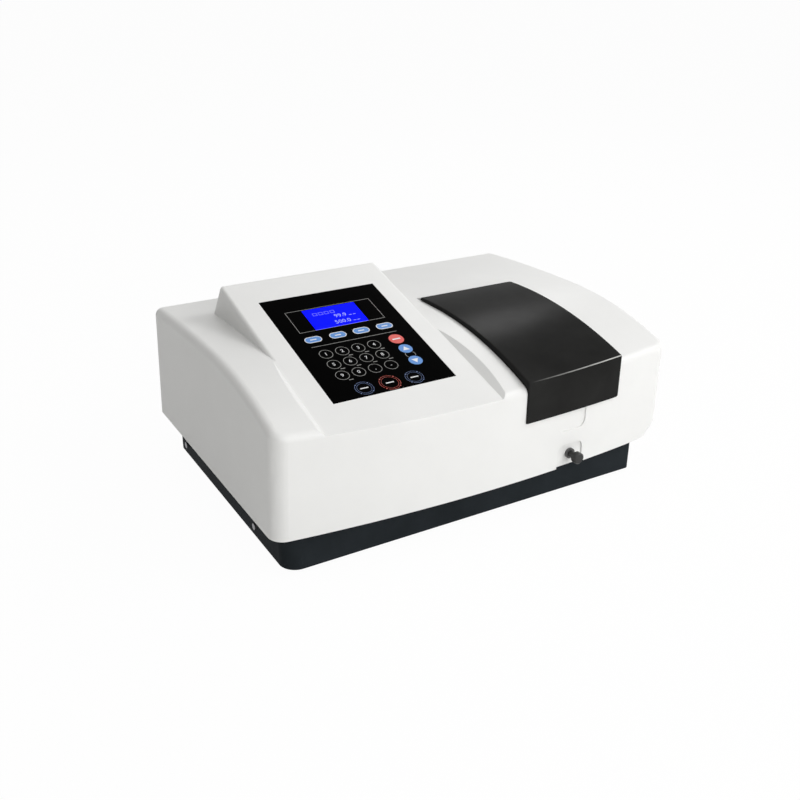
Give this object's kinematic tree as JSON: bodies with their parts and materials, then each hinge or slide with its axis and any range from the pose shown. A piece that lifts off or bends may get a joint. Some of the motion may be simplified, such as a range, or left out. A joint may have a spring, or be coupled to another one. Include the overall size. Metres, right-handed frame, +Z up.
{
  "type": "uv-vis spectrophotometer",
  "caption": "Bench-top UV-visible spectrophotometer with a sloping keypad console, a hinged black sample lid and a pull-rod cell changer on a dark tray.",
  "frame": {"origin": "on the bench under the feet, at the centre of the outer size with the pull knob", "axes": "+X to the right along the front, +Y from the front to the rear, +Z up"},
  "size_m": [0.49, 0.3786, 0.2185],
  "materials": {
    "cover_plastic": "fine-textured moulded plastic",
    "lid_plastic": "satin black moulded plastic",
    "case_paint": "dark blue-grey powder coat",
    "zinc_plate": "zinc-plated sheet",
    "foot_rubber": "moulded rubber",
    "screw_steel": "bright steel",
    "film_print": "printed polyester film",
    "display_glass": "blue display window",
    "display_body": "liquid crystal module",
    "board_green": "solder-masked board",
    "supply_parts": "board with wound parts",
    "well_black": "matt black anodised",
    "hinge_black": "dark plastic",
    "seal_foam": "black foam",
    "cast_alloy": "black anodised alloy",
    "slit_steel": "blackened steel",
    "mirror_glass": "aluminised glass",
    "filter_glass": "coloured glass",
    "lamp_glass": "quartz",
    "lamp_ceramic": "ceramic",
    "brass_nut": "turned brass",
    "motor_steel": "motor case",
    "diode_can": "metal can",
    "panel_paint": "powder-coated sheet",
    "socket_black": "black glass-filled plastic",
    "rocker_black": "glossy rocker",
    "port_metal": "nickel plate"
  },
  "bodies": {
    "base": {"base_tray": "case_paint", "rubber_feet": "foot_rubber", "case_screws": "screw_steel", "deck_plate": "zinc_plate", "top_cover": "cover_plastic", "keypad_film": "film_print", "lcd_window": "display_glass", "lcd_module": "display_body", "display_board": "board_green", "rod_port_plate": "cover_plastic", "rod_bush": "hinge_black", "lid_hinge_pin": "screw_steel", "lid_hinge_blocks": "hinge_black", "sample_well": "well_black", "light_seal": "seal_foam", "guide_rails": "screw_steel", "mono_housing": "cast_alloy", "mono_cover": "cast_alloy", "slit_plates": "slit_steel", "mirror_mounts": "zinc_plate", "mirrors": "mirror_glass", "wavelength_motor": "motor_steel", "filter_motor": "motor_steel", "filter_bracket": "zinc_plate", "selector_motor": "motor_steel", "tungsten_lamp": "lamp_glass", "deuterium_lamp": "lamp_glass", "lamp_sockets": "lamp_ceramic", "heat_shield": "zinc_plate", "detector_housing": "cast_alloy", "preamp_board": "board_green", "photodiode": "diode_can", "main_board": "board_green", "power_supply": "supply_parts", "board_standoffs": "zinc_plate", "rear_panel": "panel_paint", "power_inlet": "socket_black", "rocker_frame": "socket_black", "serial_port": "port_metal", "fan_frame": "socket_black", "fan_grille": "port_metal", "fan_screws": "screw_steel"},
    "lid": {"sample_lid": "lid_plastic"},
    "changer": {"changer_carriage": "well_black", "cuvette_holder": "well_black", "pull_rod": "screw_steel", "pull_knob": "hinge_black"},
    "drive_screw": {"lead_screw": "screw_steel", "drive_coupler": "brass_nut"},
    "nut": {"lead_nut": "brass_nut"},
    "grating_arm": {"sine_arm": "cast_alloy", "grating_table": "cast_alloy", "grating": "mirror_glass"},
    "filter_turret": {"filter_wheel": "cast_alloy", "filter_glasses": "filter_glass", "filter_shaft": "screw_steel"},
    "lamp_mirror": {"mirror_arm": "cast_alloy", "source_mirror": "mirror_glass"},
    "rocker": {"power_rocker": "rocker_black"},
    "fan": {"fan_impeller": "socket_black"}
  },
  "joints": [
    {"name": "lid_hinge", "type": "hinge", "parent": "base", "child": "lid", "pos_m": [0.101, 0.033, 0.177], "axis": [-1, 0, 0], "range_deg": [0, 80]},
    {"name": "changer_slide", "type": "slide", "parent": "base", "child": "changer", "axis": [0, -1, 0], "range_m": [0, 0.045]},
    {"name": "screw_spin", "type": "hinge", "parent": "base", "child": "drive_screw", "pos_m": [-0.074, -0.04, 0.064], "axis": [0, 1, 0], "range_deg": [-3610, 3610]},
    {"name": "nut_slide", "type": "slide", "parent": "base", "child": "nut", "axis": [0, 1, 0], "range_m": [-0.01, 0.01]},
    {"name": "grating_turn", "type": "hinge", "parent": "base", "child": "grating_arm", "pos_m": [0, 0, 0.08], "axis": [0, 0, 1], "range_deg": [-9.7, 9.7]},
    {"name": "filter_turn", "type": "hinge", "parent": "base", "child": "filter_turret", "pos_m": [0.045, 0.075, 0.096], "axis": [1, 0, 0], "continuous": true},
    {"name": "mirror_swing", "type": "hinge", "parent": "base", "child": "lamp_mirror", "pos_m": [0.122, 0.095, 0.08], "axis": [0, 0, -1], "range_deg": [0, 60]},
    {"name": "rocker_tilt", "type": "hinge", "parent": "base", "child": "rocker", "pos_m": [0.018, 0.15865, 0.085], "axis": [1, 0, 0], "range_deg": [-9, 9]},
    {"name": "fan_spin", "type": "hinge", "parent": "base", "child": "fan", "pos_m": [0.148, 0.154, 0.085], "axis": [0, 1, 0], "continuous": true}
  ],
  "couplings": [
    {"joint": "screw_spin", "follows": "nut_slide", "rad_per_m": 6283.2},
    {"joint": "grating_turn", "follows": "nut_slide", "rad_per_m": -16.667}
  ]
}
